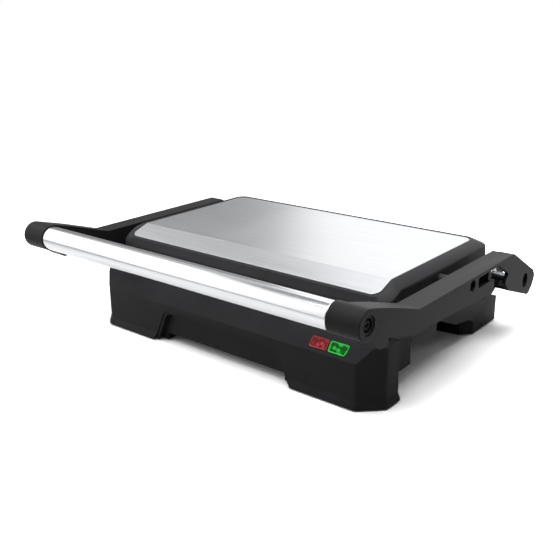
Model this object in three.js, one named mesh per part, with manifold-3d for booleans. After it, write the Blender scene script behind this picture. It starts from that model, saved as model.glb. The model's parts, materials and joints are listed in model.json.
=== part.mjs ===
// Panini press: a contact grill with two ribbed heating plates, a floating lid hung between two side arms,
// a tubular handle and a base on four rubber feet.
//
// Millimetres. +X is the right-hand side, +Y the back, +Z up; the handle is at the front.
// Lengths along Y are given from the middle of the base, and the whole part is moved at the end so that
// the origin lies under the middle of its outline, on the ground.
import * as THREE from 'three';
import { mergeVertices } from 'three/addons/utils/BufferGeometryUtils.js';
import Module from 'manifold-3d';

const wasm = await Module();
wasm.setup();

// ---------------------------------------------------------------- shared sizes

const gap = 0.3;            // clearance between pieces that seat on or nest in each other
const facetError = 0.08;    // largest distance between a true arc and its facets

// Half-widths, each built up from the heating plates outwards
const plateHalf = 135;
const bodyHalf = plateHalf + 10.8;         // base behind its fascia
const fasciaHalf = bodyHalf + 11.5;        // front of the base
const lidBottomHalf = bodyHalf + 6;
const lidEdgeHalf = lidBottomHalf - 2.1;   // upper edge of the lid's black frame
const coverHalf = lidEdgeHalf - 11.7;
const armInner = lidBottomHalf + 8.7;
const armOuter = armInner + 18.9;
const collarOuter = armOuter + 0.8;
const collarInner = armInner - 6.9;

// Housing of the base
const wall = 2.6;           // plastic wall of the mouldings
const deckZ = 50.6;         // top of the base
const deckThickness = 2.5;
const legZ = 1.2;           // underside of the legs; the rubber feet reach the ground
const legFloor = 4;         // thickness of the legs' floors
const bodyRear = 121.7;
const deckRear = 82;        // where the deck drops to the lower rear step
const stepZ = 30;           // height of that rear step
const underRearZ = 13.8;    // underside of the rear step

// Fascia: the wider front of the base with its two legs
const fasciaFront = -119.3;
const fasciaRear = -85.3;
const fasciaFloorZ = 7.8;   // underside between the legs
const legInner = 68;        // inner face of each front leg
const shoulderZ = 38.2;     // foot of the sloping shoulder
const shoulderTopY = -110.1;
const flare = 2.1;          // how far the foot of the fascia flares out
const flareZ = 8;
const recessY = -112.9;     // face of the recessed panel between the legs
const recessBorder = 3;     // width of the stepped border round that panel
const borderDepth = 0.9;

// Hinge at the back
const hingeY = 91.4;
const hingeZ = 53.9;
const pinRadius = 3.65;
const floatTravel = 5.4;    // how far the pins can rise in the towers' slots
const towerWidth = 10;
const towerHalf = 7.5;      // half-length of a tower along Y
const towerTopWall = 2.2;
const towerScrewX = bodyHalf - 6.5;

// Heating plates, centred between front and back of their wells
const plateFront = -84;
const plateRear = 72;
const plateMiddle = (plateFront + plateRear) / 2;
const plateCorner = 10;
const plateUnderZ = 43.5;   // back of the lower plate
const plateFloorZ = 48.4;   // bottom of its grooves
const plateRimZ = 50.4;
const ribTopZ = 50.9;
const ribPitch = 10;
const ribCount = 25;
const upperRibZ = 54.5;     // lowest point of the upper plate's ribs
const wellGap = 0.6;        // gap all round a plate in its well
const wellWall = 2.5;
const ledgeThickness = 3.2; // ledge that a plate seats against
const ledgeWidth = 4;

// Lid
const lidBottomZ = upperRibZ;
const lidBottomFront = -96;
const lidBottomRear = 82.9;
const lidEdgeFront = -95;
const lidEdgeRear = 82.2;
const lidEdgeZ = 86.6;
const lidFoldY = -73.3;     // where the lid's edge starts to slope down to the front
const lidFrontZ = 76.4;
const lidWall = 2.4;
const notchClear = 2;       // beside a hinge tower
const coverFront = -89.3;
const coverRear = 71.1;
const coverZ = 90.9;
const coverFoldY = -68.9;   // crease of the steel cover
const coverFrontZ = 83.7;
const coverSheet = 0.8;
const coverRim = 1.6;       // height of the cover's turned-down rim
const lipWidth = 2.3;       // raised lip of the frame round the cover
const lipAbove = 0.45;      // its height over the cover, less towards the front
const pivotY = -13.4;       // axis on which the lid rocks between the arms
const pivotZ = 78.6;
const pivotBossRadius = 4;

// Arms and handle
const armSkin = 3.2;        // outer plate
const armWeb = 3;           // top flange and inner wall
const armTopZ = 85.4;
const handleY = -166.6;
const handleZ = 95;
const handleRadius = 10.5;
const handleBore = 9;
const collarRadius = 11.4;
const spigotLength = 12;
const windowY = 96.6;       // oblong window in the tail, in front of the pin's end
const windowZ = 53;
const windowHalf = 5.2;
const windowRise = 6.8;
const knuckleInner = bodyHalf + 0.5;
const knuckleThickness = 4;

// Screws: radius of the shank, and of the head
const smallScrew = { shank: 1.6, head: 3.3 };
const largeScrew = { shank: 2.6, head: 4.4 };
const shoulderScrew = { shank: 2.4, head: 3.4 };

// ---------------------------------------------------------------- shape helpers

// Number of facets for an arc.
function arcSteps(radius, sweep) {
  const step = 2 * Math.acos(1 - Math.min(facetError / radius, 0.5));
  return Math.max(2, Math.ceil(Math.abs(sweep) / step));
}

// A closed outline from corners [a, b] or [a, b, radius]; a radius rounds its corner with an arc.
function outline(corners, fixedSteps) {
  const count = corners.length;
  return corners.flatMap(([a, b, radius = 0], i) => {
    const corner = new THREE.Vector2(a, b);
    if (!radius) {
      return [corner];
    }
    const [beforeA, beforeB] = corners[(i + count - 1) % count];
    const [afterA, afterB] = corners[(i + 1) % count];
    const toBefore = new THREE.Vector2(beforeA, beforeB).sub(corner).normalize();
    const toAfter = new THREE.Vector2(afterA, afterB).sub(corner).normalize();
    const half = Math.acos(THREE.MathUtils.clamp(toBefore.dot(toAfter), -1, 1)) / 2;
    const centre = toBefore.clone().add(toAfter).normalize().multiplyScalar(radius / Math.sin(half)).add(corner);
    const start = toBefore.clone().multiplyScalar(radius / Math.tan(half)).add(corner).sub(centre);
    const sweep = -Math.sign(toBefore.cross(toAfter)) * (Math.PI - 2 * half);
    const steps = fixedSteps ?? arcSteps(radius, sweep);
    return Array.from({ length: steps + 1 }, (_, k) => (
      start.clone().rotateAround(new THREE.Vector2(), (sweep * k) / steps).add(centre)
    ));
  });
}

// Moves every edge of an anticlockwise outline outward by a distance (inward when negative).
function offset(corners, distance) {
  const count = corners.length;
  return corners.map(([a, b, radius = 0], i) => {
    const [beforeA, beforeB] = corners[(i + count - 1) % count];
    const [afterA, afterB] = corners[(i + 1) % count];
    const into = new THREE.Vector2(a - beforeA, b - beforeB).normalize();
    const away = new THREE.Vector2(afterA - a, afterB - b).normalize();
    const scale = distance / (1 + into.dot(away));
    const turn = Math.sign(into.cross(away));
    return [
      a + (into.y + away.y) * scale,
      b - (into.x + away.x) * scale,
      radius ? Math.max(radius + turn * distance, 0.4) : 0,
    ];
  });
}

function disc(a, b, radius) {
  const count = 4 * Math.max(3, Math.ceil(arcSteps(radius, 2 * Math.PI) / 4));
  return Array.from({ length: count }, (_, k) => {
    const angle = (2 * Math.PI * k) / count;
    return new THREE.Vector2(a + radius * Math.cos(angle), b + radius * Math.sin(angle));
  });
}

function rectangle(lowA, highA, lowB, highB, radius = 0) {
  return [[lowA, lowB, radius], [highA, lowB, radius], [highA, highB, radius], [lowA, highB, radius]];
}

function toSolid(geometry) {
  geometry.deleteAttribute('normal');
  geometry.deleteAttribute('uv');
  const merged = mergeVertices(geometry, 1e-4);
  const index = merged.index.array;
  const triangles = [];
  for (let i = 0; i < index.length; i += 3) {
    const [a, b, c] = index.slice(i, i + 3);
    if (a !== b && b !== c && c !== a) {
      triangles.push(a, b, c);
    }
  }
  return new wasm.Manifold(new wasm.Mesh({
    numProp: 3,
    vertProperties: new Float32Array(merged.attributes.position.array),
    triVerts: new Uint32Array(triangles),
  }));
}

function extruded(points, depth) {
  return new THREE.ExtrudeGeometry(new THREE.Shape(points), { depth, bevelEnabled: false });
}

// Outline in (y, z), extruded along X.
function alongX(points, from, to) {
  const axes = new THREE.Matrix4().makeBasis(
    new THREE.Vector3(0, 1, 0), new THREE.Vector3(0, 0, 1), new THREE.Vector3(1, 0, 0),
  );
  return toSolid(extruded(points, to - from).applyMatrix4(axes).translate(from, 0, 0));
}

// Outline in (x, z), extruded along Y.
function alongY(points, from, to) {
  const axes = new THREE.Matrix4().makeBasis(
    new THREE.Vector3(1, 0, 0), new THREE.Vector3(0, 0, 1), new THREE.Vector3(0, -1, 0),
  );
  return toSolid(extruded(points, to - from).applyMatrix4(axes).translate(0, to, 0));
}

// Outline in (x, y), extruded along Z.
function alongZ(points, from, to) {
  return toSolid(extruded(points, to - from).translate(0, 0, from));
}

function box(lowX, highX, lowY, highY, lowZ, highZ) {
  const geometry = new THREE.BoxGeometry(highX - lowX, highY - lowY, highZ - lowZ);
  return toSolid(geometry.translate((lowX + highX) / 2, (lowY + highY) / 2, (lowZ + highZ) / 2));
}

// Skins rings of equal point count, lowest first and anticlockwise from above, and caps both ends.
function loft(rings) {
  const count = rings[0].length;
  const cap = THREE.ShapeUtils.triangulateShape(rings[0].map((p) => new THREE.Vector2(p.x, p.y)), []);
  const triangles = cap.flatMap(([a, b, c]) => [c, b, a]);
  for (let level = 0; level < rings.length - 1; level += 1) {
    for (let i = 0; i < count; i += 1) {
      const a = level * count + i;
      const b = level * count + ((i + 1) % count);
      triangles.push(a, b, b + count, a, b + count, a + count);
    }
  }
  const top = (rings.length - 1) * count;
  const topCap = THREE.ShapeUtils.triangulateShape(rings.at(-1).map((p) => new THREE.Vector2(p.x, p.y)), []);
  triangles.push(...topCap.flatMap(([a, b, c]) => [a + top, b + top, c + top]));
  const geometry = new THREE.BufferGeometry().setFromPoints(rings.flat());
  geometry.setIndex(triangles);
  return toSolid(geometry);
}

const join = (...solids) => solids.reduce((sum, solid) => sum.add(solid));
const cut = (solid, ...tools) => tools.reduce((rest, tool) => rest.subtract(tool), solid);
const common = (first, second) => first.intersect(second);

// A copy of a solid carried by a matrix; a mirroring matrix turns the triangles over as well.
function moved(solid, matrix) {
  const mesh = solid.getMesh();
  const positions = new THREE.BufferAttribute(new Float32Array(mesh.vertProperties), 3).applyMatrix4(matrix);
  const triangles = new Uint32Array(mesh.triVerts);
  if (matrix.determinant() < 0) {
    for (let i = 0; i < triangles.length; i += 3) {
      [triangles[i], triangles[i + 1]] = [triangles[i + 1], triangles[i]];
    }
  }
  return new wasm.Manifold(new wasm.Mesh({
    numProp: 3, vertProperties: positions.array, triVerts: triangles,
  }));
}

const leftHand = new THREE.Matrix4().makeScale(-1, 1, 1);

// The upper heating plate and what is on it are the lower ones turned over.
const flipZ = ribTopZ + upperRibZ;
const turnedOver = new THREE.Matrix4().makeRotationX(Math.PI);
turnedOver.setPosition(0, 2 * plateMiddle, flipZ);

// ---------------------------------------------------------------- nodes

const group = new THREE.Group();
const originShift = (collarRadius - handleY - bodyRear) / 2;

function node(name, solid, color, roughness, metalness) {
  const mesh = solid.getMesh();
  const geometry = new THREE.BufferGeometry();
  geometry.setAttribute('position', new THREE.BufferAttribute(new Float32Array(mesh.vertProperties), 3));
  geometry.setIndex(new THREE.BufferAttribute(new Uint32Array(mesh.triVerts), 1));
  geometry.translate(0, originShift, 0);
  geometry.computeVertexNormals();
  const piece = new THREE.Mesh(geometry, new THREE.MeshStandardMaterial({ color, roughness, metalness }));
  piece.name = name;
  group.add(piece);
}

const blackPlastic = [0x2a2b2d, 0.55, 0];
const nonStick = [0x232325, 0.45, 0.2];
const brushedSteel = [0xc9cbce, 0.32, 1];
const zincSteel = [0xb4b7ba, 0.38, 1];
const rubber = [0x1a1a1b, 0.85, 0];

// ---------------------------------------------------------------- screws

// A cross-recessed screw pointing along +Z from the seat under its head.
function screw({ shank, head }, length, headHeight) {
  const profile = [
    [0, -headHeight], [head * 0.72, -headHeight], [head, -headHeight * 0.55], [head, 0], [shank, 0],
    [shank, length - shank], [0, length],
  ].map(([radius, z]) => new THREE.Vector2(radius, z));
  const body = toSolid(new THREE.LatheGeometry(profile, 14).rotateX(Math.PI / 2));
  const slotWidth = head * 0.26;
  const slotReach = head * 0.55;
  const slotFloor = -headHeight * 0.45;
  return cut(
    body,
    box(-slotReach, slotReach, -slotWidth / 2, slotWidth / 2, -headHeight - 1, slotFloor),
    box(-slotWidth / 2, slotWidth / 2, -slotReach, slotReach, -headHeight - 1, slotFloor),
  );
}

const pointingIn = new THREE.Matrix4().makeRotationY(-Math.PI / 2);

// ---------------------------------------------------------------- base housing

const fasciaPlan = [
  [fasciaHalf, fasciaRear], [-fasciaHalf, fasciaRear], [-fasciaHalf, -102.8, 5], [17 - fasciaHalf, fasciaFront, 5],
  [fasciaHalf - 17, fasciaFront, 5], [fasciaHalf, -102.8, 5],
];
const fasciaSide = [
  [fasciaFront, 0], [fasciaRear, 0], [fasciaRear, deckZ], [shoulderTopY, deckZ], [fasciaFront, shoulderZ],
];
const archFront = [[82.1, -5], [64.3, 33, 11], [-64.3, 33, 11], [-82.1, -5]];
const bodyPlan = [
  [bodyHalf, -100], [bodyHalf, bodyRear, 7], [-bodyHalf, bodyRear, 7], [-bodyHalf, -100],
];
const bodySide = [
  [-95, 13.6], [-46.8, 13.6, 1.5], [-48.2, 35.4, 5], [1.5, 35.4, 9], [32.5, 22, 9], [61, 17.5, 4],
  [65.6, underRearZ], [bodyRear, underRearZ, 2], [bodyRear, 23, 3], [103, stepZ, 6], [deckRear, stepZ, 2],
  [deckRear, deckZ, 1.5], [-95, deckZ],
];
const rearLegPlan = [
  [bodyHalf - 30.8, 54.6, 2], [bodyHalf - 8.8, 58.2, 2], [bodyHalf, 68.4, 2], [bodyHalf, bodyRear, 7],
  [bodyHalf - 30.8, bodyRear, 2],
];
const platePlan = rectangle(-plateHalf, plateHalf, plateFront, plateRear, plateCorner);
const ceilingZ = deckZ - deckThickness;
const ledgeTopZ = plateUnderZ - gap;
const ledgeUnderZ = ledgeTopZ - ledgeThickness;
const partitionZ = 36.5;     // top of the inner partitions, where the bottom cover's flange seats
const legFloorTop = legZ + legFloor;
const legTopZ = 18.4;        // top of the rear legs, under the side walls

// One flare ring of the fascia; its rear edge stays in the plane of the fascia's rear.
function flareRing(reach, z) {
  const corners = offset(fasciaPlan, reach).map(([x, y, radius]) => [x, Math.min(y, fasciaRear), radius]);
  return outline(corners, 3).map((point) => new THREE.Vector3(point.x, point.y, z));
}

function fasciaShell() {
  const skirt = loft([
    flareRing(flare, legZ), flareRing(flare, 3.4), flareRing(flare * 0.45, 5.6), flareRing(0.02, flareZ),
  ]);
  const block = common(
    alongZ(outline(fasciaPlan), legZ, deckZ),
    alongX(outline(fasciaSide), -fasciaHalf - 1, fasciaHalf + 1),
  );
  const deepRecess = offset(archFront, -recessBorder);
  const shape = cut(
    join(block, skirt),
    alongY(outline(archFront), fasciaFront - 5, fasciaFront + borderDepth),
    alongY(outline(deepRecess), fasciaFront - 5, recessY),
    box(-legInner, legInner, recessY - 1, fasciaRear + 1, -1, fasciaFloorZ),
  );
  const hollow = cut(
    common(
      alongZ(outline(offset(fasciaPlan, -wall)), legFloorTop, ceilingZ),
      alongX(outline(offset(fasciaSide, -wall)), -fasciaHalf, fasciaHalf),
    ),
    alongY(outline(offset(deepRecess, wall)), fasciaFront, recessY + wall),
    box(-legInner - wall, legInner + wall, fasciaFront, fasciaRear, 0, fasciaFloorZ + wall),
  );
  return { shape, hollow };
}

// Slotted tower that carries the hinge pin on the right-hand side; it stands on the rear step.
function hingeTower() {
  const topZ = hingeZ + pinRadius + gap + floatTravel + towerTopWall;
  const inner = bodyHalf - towerWidth;
  const side = [
    [deckRear + gap, stepZ + gap, 2.4], [hingeY + towerHalf + 3, stepZ + gap], [hingeY + towerHalf, stepZ + 8, 6],
    [hingeY + towerHalf, topZ, towerHalf - 0.05], [hingeY - towerHalf, topZ, towerHalf - 0.05],
    [hingeY - towerHalf, deckZ - 3, 2], [deckRear + gap, deckZ - 6],
  ];
  return cut(
    alongX(outline(side), inner, bodyHalf),
    pinSlot(),
    alongZ(disc(towerScrewX, hingeY, smallScrew.shank + gap), stepZ, stepZ + 12),
  );
}

function pinSlot() {
  const half = pinRadius + gap;
  const corners = rectangle(hingeY - half, hingeY + half, hingeZ - half, hingeZ + floatTravel + half, half - 0.01);
  return alongX(outline(corners), bodyHalf - towerWidth - 1, bodyHalf + 1);
}

const coverScrewX = bodyHalf - 11.8;
const coverScrewSpots = [[-coverScrewX, -77], [coverScrewX, -77], [-coverScrewX, 59], [coverScrewX, 59]];
const frontFootX = bodyHalf - 26.8;
const rearFootX = bodyHalf - 15.4;
const footSpots = [[-frontFootX, -104], [frontFootX, -104], [-rearFootX, 96], [rearFootX, 96]];
const footRadius = 9;
const footRecess = 1.9;

// Signal lamps' lenses, as slanting windows in the plane of the shoulder: x to the right, v up the slope.
const shoulderRun = shoulderTopY - fasciaFront;
const shoulderRise = deckZ - shoulderZ;
const shoulderLength = Math.hypot(shoulderRun, shoulderRise);
const onShoulder = new THREE.Matrix4().makeBasis(
  new THREE.Vector3(1, 0, 0),
  new THREE.Vector3(0, shoulderRun / shoulderLength, shoulderRise / shoulderLength),
  new THREE.Vector3(0, -shoulderRise / shoulderLength, shoulderRun / shoulderLength),
).setPosition(0, fasciaFront, shoulderZ);
const lensBottom = 3.4;
const lensTop = 12.4;
const lensEdge = fasciaHalf - 26.5;
const redLens = [
  [lensEdge - 35.6, lensBottom, 1.5], [lensEdge - 19, lensBottom, 1.5],
  [lensEdge - 18.6, lensTop, 1.5], [lensEdge - 34.4, lensTop, 1.5],
];
const greenLens = [
  [lensEdge - 17.6, lensBottom, 1.5], [lensEdge - 2, lensBottom, 1.5],
  [lensEdge, lensTop, 1.5], [lensEdge - 17.2, lensTop, 1.5],
];

function lensWindow(corners, grow, from, to) {
  return moved(alongZ(outline(offset(corners, grow)), from, to), onShoulder);
}

function baseHousing() {
  const fascia = fasciaShell();
  const body = common(
    alongX(outline(bodySide), -bodyHalf, bodyHalf),
    alongZ(outline(bodyPlan), 0, deckZ + 1),
  );
  const legCore = join(
    alongZ(outline(offset(rearLegPlan, -wall)), legFloorTop, legTopZ - wall),
    box(bodyHalf - 28.2, bodyHalf - wall, 72, bodyRear - wall - 4, legTopZ - wall - 1, legTopZ + 1),
  );
  const rearLeg = cut(alongZ(outline(rearLegPlan), legZ, legTopZ), legCore);
  const innerHalf = bodyHalf - wall;
  const mainHollow = box(-innerHalf, innerHalf, fasciaRear, 67, -1, ceilingZ);
  const rearSide = [
    [67 + wall, underRearZ + wall], [bodyRear - wall, underRearZ + wall], [bodyRear - wall, 21.2],
    [102.4, stepZ - wall], [deckRear - wall, stepZ - wall], [deckRear - wall, ceilingZ],
    [60, ceilingZ], [60, partitionZ], [67 + wall, partitionZ],
  ];
  const rearHollow = alongX(outline(rearSide), -innerHalf, innerHalf);
  const frontPassage = box(-innerHalf, innerHalf, fasciaRear - wall - 1, fasciaRear + 1, partitionZ, ceilingZ);

  // The hollow leaves a well wall with a ledge for the lower plate, and blocks for the bottom cover's screws.
  const wellPlan = offset(platePlan, wellGap);
  const wellBlock = alongZ(outline(offset(wellPlan, wellWall)), ledgeUnderZ, deckZ);
  const hollow = cut(
    join(fascia.hollow, mainHollow, rearHollow, frontPassage),
    wellBlock,
    ...coverScrewSpots.map(([x, y]) => box(
      Math.min(x * 0.955, x * 1.08), Math.max(x * 0.955, x * 1.08), y - 7, y + 7, partitionZ, ledgeTopZ,
    )),
  );
  const shell = cut(
    join(fascia.shape, body),
    hollow,
    legCore,
    moved(legCore, leftHand),
    alongZ(outline(wellPlan), ledgeTopZ, deckZ + 1),
    alongZ(outline(offset(platePlan, -ledgeWidth)), ledgeUnderZ - 1, deckZ),
  );
  return cut(
    join(shell, rearLeg, moved(rearLeg, leftHand)),
    ...[-1, 1].map((side) => (
      alongZ(disc(side * towerScrewX, hingeY, smallScrew.shank + gap), stepZ - wall - 1, stepZ + 1)
    )),
    lensWindow(redLens, gap, -wall - 1, 1),
    lensWindow(greenLens, gap, -wall - 1, 1),
    ...coverScrewSpots.map(([x, y]) =>
      alongZ(disc(x, y, smallScrew.shank + gap), partitionZ - 1, ledgeTopZ - 1),
    ),
    ...footSpots.map(([x, y]) => alongZ(disc(x, y, footRadius + gap), 0, legZ + footRecess)),
    alongY(disc(inletX, inletZ, inletRadius + gap), deckRear - wall - 1, deckRear + 1),
  );
}

const inletX = 84;
const inletZ = 40.4;
const inletRadius = 4.6;

node('base_housing', baseHousing(), ...blackPlastic);

const towerScrewSeat = stepZ - wall - gap;
const towerScrew = moved(
  screw(smallScrew, 13, 2.1),
  new THREE.Matrix4().makeTranslation(towerScrewX, hingeY, towerScrewSeat),
);

// ---------------------------------------------------------------- bottom cover: a tapered, vented tub

const tubFloorZ = 14;
const tubWall = 2.2;
const flangeTopZ = partitionZ - gap;
const flangeUnderZ = flangeTopZ - 2.3;
const tubTop = rectangle(21.8 - bodyHalf, bodyHalf - 21.8, -74, 62, 16);
const tubFloor = rectangle(38.8 - bodyHalf, bodyHalf - 38.8, -56, 44, 12);

function tubRing(corners, grow, z) {
  return outline(offset(corners, grow), 4).map((point) => new THREE.Vector3(point.x, point.y, z));
}

function bottomCover() {
  const inset = bodyHalf - wall - gap;
  const flange = alongZ(
    outline(rectangle(-inset, inset, fasciaRear + gap, 67 - gap, 3)), flangeUnderZ, flangeTopZ,
  );
  const tub = loft([tubRing(tubFloor, 0, tubFloorZ), tubRing(tubTop, 0, flangeUnderZ + 0.5)]);
  const inside = loft([
    tubRing(tubFloor, -tubWall, tubFloorZ + tubWall), tubRing(tubTop, -tubWall, flangeTopZ + 1),
  ]);
  const vents = [];
  for (let row = 0; row < 2; row += 1) {
    for (let i = 0; i < 8; i += 1) {
      const x = -63 + 18 * i;
      const y = -40 + 38 * row;
      vents.push(box(x - 2, x + 2, y, y + 24, tubFloorZ - 1, tubFloorZ + tubWall + 1));
    }
  }
  return cut(
    join(flange, tub),
    inside,
    ...vents,
    ...coverScrewSpots.map(([x, y]) =>
      alongZ(disc(x, y, smallScrew.shank + gap), flangeUnderZ - 1, flangeTopZ + 1),
    ),
  );
}

node('bottom_cover', bottomCover(), ...blackPlastic);

coverScrewSpots.forEach(([x, y], i) => {
  const seat = flangeUnderZ - gap;
  const placed = new THREE.Matrix4().makeTranslation(x, y, seat);
  node(`cover_screw_${i + 1}`, moved(screw(smallScrew, ledgeTopZ - 1.6 - seat, 2.1), placed), ...zincSteel);
});

// ---------------------------------------------------------------- rubber feet

function rubberFoot(x, y) {
  const top = legZ + footRecess - gap;
  const profile = [
    [0, 0], [footRadius - 1.2, 0], [footRadius - 0.3, 0.6], [footRadius, legZ + 0.3], [footRadius, top], [0, top],
  ].map(([radius, z]) => new THREE.Vector2(radius, z));
  return toSolid(new THREE.LatheGeometry(profile, 24).rotateX(Math.PI / 2).translate(x, y, 0));
}

const footNames = ['foot_front_left', 'foot_front_right', 'foot_rear_left', 'foot_rear_right'];
footSpots.forEach(([x, y], i) => node(footNames[i], rubberFoot(x, y), ...rubber));

// ---------------------------------------------------------------- heating plates and what is behind them

const plateScrewX = plateHalf - 25;
const plateScrewSpots = [[-plateScrewX, -58], [plateScrewX, -58], [-plateScrewX, 46], [plateScrewX, 46]];
const plateBossRadius = 4.2;
const rodRadius = 3.25;
const rodZ = plateUnderZ - gap - rodRadius;
const shieldSheet = 0.8;
const shieldFloorTop = rodZ - rodRadius - gap;
const shieldFlangeTop = ledgeUnderZ - gap;

// Cast plate with its ribs along Y, a raised rim and screw bosses on its back.
function ribbedPlate() {
  const floor = alongZ(outline(platePlan), plateUnderZ, plateRimZ);
  const basin = alongZ(outline(offset(platePlan, -wellWall)), plateFloorZ, ribTopZ);
  const ribs = [];
  for (let i = 0; i < ribCount; i += 1) {
    const x = (i - (ribCount - 1) / 2) * ribPitch;
    const section = [
      [x - 2, plateFloorZ - 0.5], [x + 2, plateFloorZ - 0.5], [x + 1.1, ribTopZ], [x - 1.1, ribTopZ],
    ];
    ribs.push(alongY(outline(section), plateFront + 9, plateRear - 9));
  }
  const bosses = plateScrewSpots.map(([x, y]) => (
    alongZ(disc(x, y, plateBossRadius), shieldFloorTop + gap, plateUnderZ + 1)
  ));
  const holes = plateScrewSpots.map(([x, y]) => (
    alongZ(disc(x, y, smallScrew.shank + gap), shieldFloorTop, plateUnderZ - 1)
  ));
  return cut(join(cut(floor, basin), ...ribs, ...bosses), ...holes);
}

// U-shaped sheathed heating rod with a thinner terminal pin on each end.
function heatingRod() {
  const bend = 40;
  const bendX = 75 - plateHalf;
  const endX = plateHalf - 31;
  const torus = new THREE.TorusGeometry(bend, rodRadius, 12, 36).translate(bendX, plateMiddle, rodZ);
  const halfTurn = common(
    toSolid(torus), box(bendX - 60, bendX, plateMiddle - 60, plateMiddle + 60, rodZ - 10, rodZ + 10),
  );
  const legs = [-bend, bend].map((side) => {
    const leg = new THREE.CylinderGeometry(rodRadius, rodRadius, endX - bendX, 12);
    const pin = new THREE.CylinderGeometry(1.3, 1.3, 9, 10);
    return join(
      toSolid(leg.rotateZ(Math.PI / 2).translate((endX + bendX) / 2, plateMiddle + side, rodZ)),
      toSolid(pin.rotateZ(Math.PI / 2).translate(endX + 4, plateMiddle + side, rodZ)),
    );
  });
  return join(halfTurn, ...legs);
}

// Pressed sheet tray that clamps the plate: its flange hooks behind the ledge of the well.
function heatShield() {
  const tray = rectangle(17 - plateHalf, plateHalf - 17, plateMiddle - 62, plateMiddle + 62, 12);
  const flangeReach = offset(platePlan, 1.5);
  const floorUnder = shieldFloorTop - shieldSheet;
  const sheet = cut(
    join(
      alongZ(outline(tray), floorUnder, shieldFlangeTop),
      alongZ(outline(flangeReach), shieldFlangeTop - shieldSheet, shieldFlangeTop),
    ),
    alongZ(outline(offset(tray, -shieldSheet)), shieldFloorTop, shieldFlangeTop + 1),
  );
  return cut(
    sheet,
    alongZ(disc(thermostatX, plateMiddle, thermostatRadius + 1), floorUnder - 1, shieldFloorTop + 1),
    ...plateScrewSpots.map(([x, y]) => (
      alongZ(disc(x, y, smallScrew.shank + gap), floorUnder - 1, shieldFloorTop + 1)
    )),
    // Corners cleared for the blocks that take the bottom cover's screws
    ...[-1, 1].flatMap((side) => [-1, 1].map((end) => box(
      Math.min(side * (bodyHalf - 19.8), side * bodyHalf), Math.max(side * (bodyHalf - 19.8), side * bodyHalf),
      plateMiddle + (end < 0 ? -82 : 55), plateMiddle + (end < 0 ? -62 : 82), floorUnder - 1, shieldFlangeTop + 1,
    ))),
  );
}

const thermostatX = 8;
const thermostatRadius = 9.5;

// Disc thermostat with two upright tab terminals.
function thermostat() {
  const top = plateUnderZ - gap;
  const profile = [
    [0, top - 11.5], [thermostatRadius - 2, top - 11.5], [thermostatRadius - 2, top - 4.5],
    [thermostatRadius, top - 4.5], [thermostatRadius, top - 0.4], [thermostatRadius - 0.4, top], [0, top],
  ].map(([radius, z]) => new THREE.Vector2(radius, z));
  const body = toSolid(new THREE.LatheGeometry(profile, 28).rotateX(Math.PI / 2));
  const tabs = [-1, 1].map((side) => (
    box(side * 4.5 - 0.4, side * 4.5 + 0.4, -3.1, 3.1, top - 17.5, top - 11)
  ));
  return moved(join(body, ...tabs), new THREE.Matrix4().makeTranslation(thermostatX, plateMiddle, 0));
}

// Axial thermal fuse on a small saddle that stands on the heat shield.
function thermalFuse() {
  const x = 48;
  const radius = 2.4;
  const z = plateUnderZ - gap - radius;
  const barrel = new THREE.CylinderGeometry(radius, radius, 15, 16).rotateZ(Math.PI / 2);
  const leads = new THREE.CylinderGeometry(0.6, 0.6, 27, 10).rotateZ(Math.PI / 2);
  return join(
    toSolid(barrel.translate(x, plateMiddle, z)),
    toSolid(leads.translate(x, plateMiddle, z)),
    box(x - 3, x + 3, plateMiddle - 2.2, plateMiddle + 2.2, shieldFloorTop + gap, z),
  );
}

const plateStack = [
  ['plate', ribbedPlate(), nonStick],
  ['element', heatingRod(), [0x8f8b86, 0.5, 1]],
  ['heat_shield', heatShield(), [0xb8bab8, 0.4, 1]],
  ['thermostat', thermostat(), [0xd8d2c4, 0.5, 0]],
  ['thermal_fuse', thermalFuse(), [0xc8b27a, 0.4, 0.6]],
];
plateStack.forEach(([name, solid, finish]) => {
  node(`lower_${name}`, solid, ...finish);
  node(`upper_${name}`, moved(solid, turnedOver), ...finish);
});

plateScrewSpots.forEach(([x, y], i) => {
  const seat = shieldFloorTop - shieldSheet - gap;
  const placed = new THREE.Matrix4().makeTranslation(x, y, seat);
  const solid = moved(screw(smallScrew, plateUnderZ - 1.6 - seat, 2.1), placed);
  node(`lower_plate_screw_${i + 1}`, solid, ...zincSteel);
  node(`upper_plate_screw_${i + 1}`, moved(solid, turnedOver), ...zincSteel);
});

// ---------------------------------------------------------------- signal lamps

// A lens stands proud of the shoulder; a flange below it and on its outer side lies behind the wall.
function lens(corners, growLeft, growRight) {
  const [[lowLeft], [lowRight], [highRight], [highLeft]] = corners;
  const flange = [
    [lowLeft - growLeft, lensBottom - 1.6], [lowRight + growRight, lensBottom - 1.6],
    [highRight + growRight, lensTop - 0.4], [highLeft - growLeft, lensTop - 0.4],
  ];
  const face = moved(alongZ(outline(corners), -wall - gap - 1, 0.45), onShoulder);
  const back = moved(alongZ(outline(flange), -wall - gap - 1.6, -wall - gap), onShoulder);
  return join(face, back);
}

node('power_lens', lens(redLens, 1.6, 0), 0xb3171c, 0.25, 0);
node('ready_lens', lens(greenLens, 0, 1.6), 0x19c23a, 0.25, 0);

// Carrier behind the lenses with one lamp for each.
function lampHolder() {
  const back = -wall - gap - 1.6 - gap;
  const plan = rectangle(lensEdge - 38.8, lensEdge + 3.2, lensBottom - 1, lensTop, 1);
  const carrier = moved(alongZ(outline(plan), back - 4.5, back - 3), onShoulder);
  const lamps = [lensEdge - 27, lensEdge - 10].map((x) => (
    moved(alongZ(disc(x, (lensBottom + lensTop) / 2, 2.6), back - 4, back), onShoulder)
  ));
  return join(carrier, ...lamps);
}

node('lamp_holder', lampHolder(), 0xd9d4c6, 0.6, 0);

// ---------------------------------------------------------------- wiring inlet

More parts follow.
